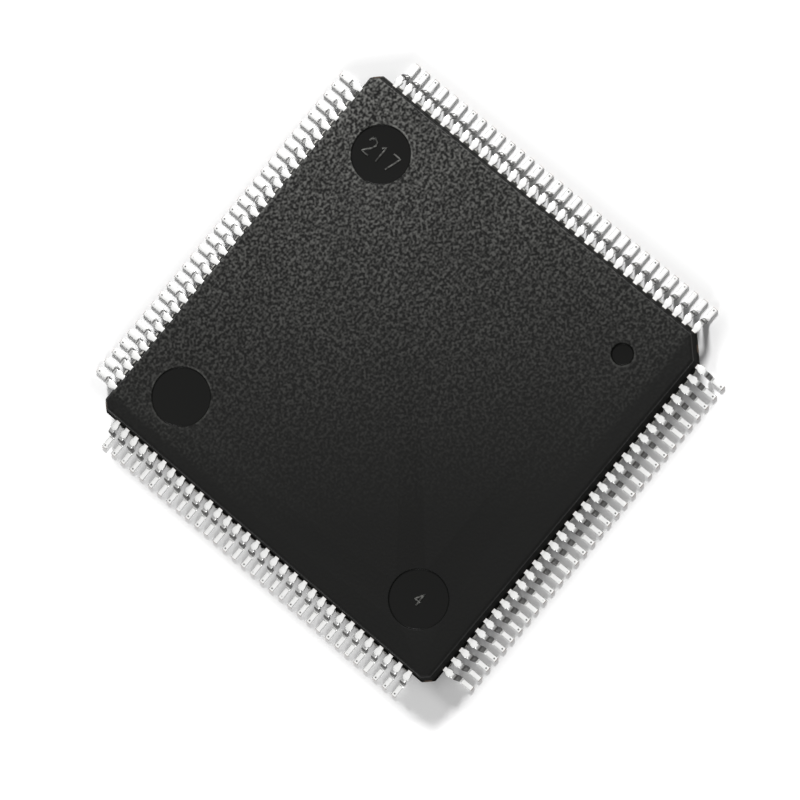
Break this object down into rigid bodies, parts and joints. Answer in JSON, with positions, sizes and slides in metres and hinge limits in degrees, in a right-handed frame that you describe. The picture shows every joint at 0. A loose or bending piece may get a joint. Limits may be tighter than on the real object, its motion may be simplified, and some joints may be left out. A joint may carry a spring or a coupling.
{
  "type": "quad flat pack chip",
  "caption": "Square moulded chip package with fine-pitch gull-wing leads on all four sides and a chamfered index corner.",
  "frame": {"origin": "centre of the seating plane, level with the undersides of the lead feet", "axes": "+Z out of the top face; seen from above, lead 1 and the large chamfer are at the -X, +Y corner and the leads count counter-clockwise"},
  "size_m": [0.016, 0.016, 0.0015],
  "materials": {
    "mould_compound": "black epoxy with a fine spark-eroded grain, smooth in the round marks",
    "lead_plating": "satin tin plating",
    "frame_copper": "bare copper strip",
    "die_adhesive": "cured silver-filled adhesive",
    "silicon": "polished dark grey",
    "polyimide_tape": "amber film",
    "bond_gold": "bright drawn gold wire"
  },
  "bodies": {
    "root": {"mould_body": "mould_compound", "die_paddle": "frame_copper", "die_attach": "die_adhesive", "silicon_die": "silicon", "lead_lock_tape": "polyimide_tape", "leads_west_1": "lead_plating", "leads_west_2": "lead_plating", "leads_west_3": "lead_plating", "leads_west_4": "lead_plating", "leads_south_1": "lead_plating", "leads_south_2": "lead_plating", "leads_south_3": "lead_plating", "leads_south_4": "lead_plating", "leads_east_1": "lead_plating", "leads_east_2": "lead_plating", "leads_east_3": "lead_plating", "leads_east_4": "lead_plating", "leads_north_1": "lead_plating", "leads_north_2": "lead_plating", "leads_north_3": "lead_plating", "leads_north_4": "lead_plating", "wires_west_1": "bond_gold", "wires_west_2": "bond_gold", "wires_west_3": "bond_gold", "wires_west_4": "bond_gold", "wires_south_1": "bond_gold", "wires_south_2": "bond_gold", "wires_south_3": "bond_gold", "wires_south_4": "bond_gold", "wires_east_1": "bond_gold", "wires_east_2": "bond_gold", "wires_east_3": "bond_gold", "wires_east_4": "bond_gold", "wires_north_1": "bond_gold", "wires_north_2": "bond_gold", "wires_north_3": "bond_gold", "wires_north_4": "bond_gold"}
  },
  "joints": []
}
